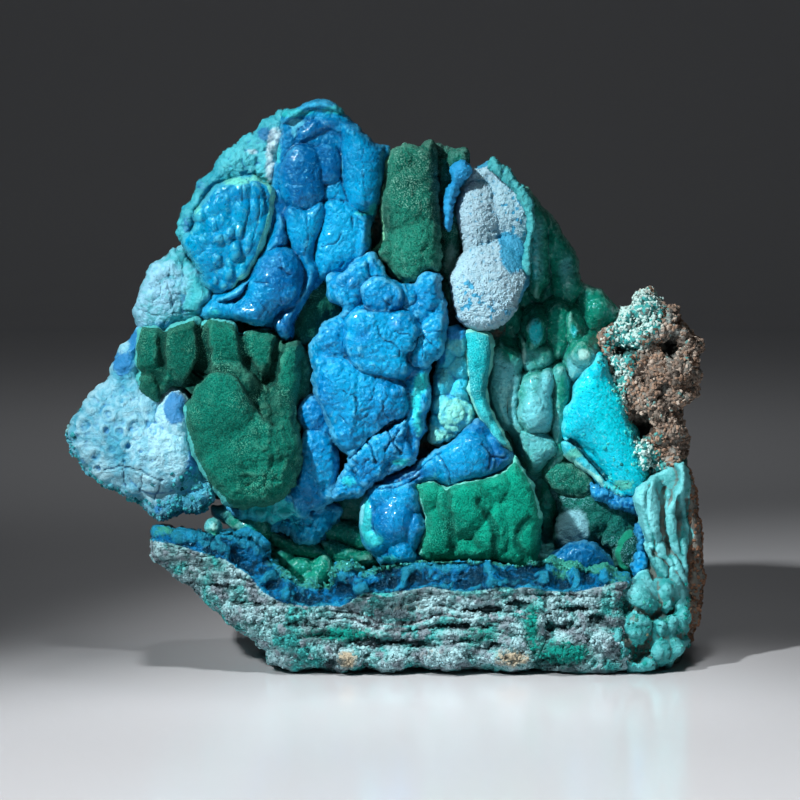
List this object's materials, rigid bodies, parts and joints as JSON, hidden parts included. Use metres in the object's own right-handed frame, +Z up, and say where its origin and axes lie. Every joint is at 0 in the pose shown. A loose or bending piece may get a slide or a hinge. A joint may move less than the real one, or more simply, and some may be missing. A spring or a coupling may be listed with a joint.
{
  "type": "mineral specimen",
  "caption": "Botryoidal malachite and chrysocolla on matrix: rounded lobes over a layered slab, with an open gap at the left, cut flat to stand.",
  "frame": {"origin": "on the flat-cut base, at the middle of the rock's depth, a little left of the base's middle", "axes": "+X to the right across the display face, +Y away from the viewer, +Z up"},
  "size_m": [0.1599, 0.0687, 0.1385],
  "materials": {
    "chrysocolla_blue": "satin",
    "malachite_green": "matte",
    "pale_crust": "matte",
    "turquoise_band": "satin",
    "host_rock": "matte"
  },
  "bodies": {
    "root": {"malachite_chrysocolla_specimen": "chrysocolla_blue"}
  },
  "joints": []
}
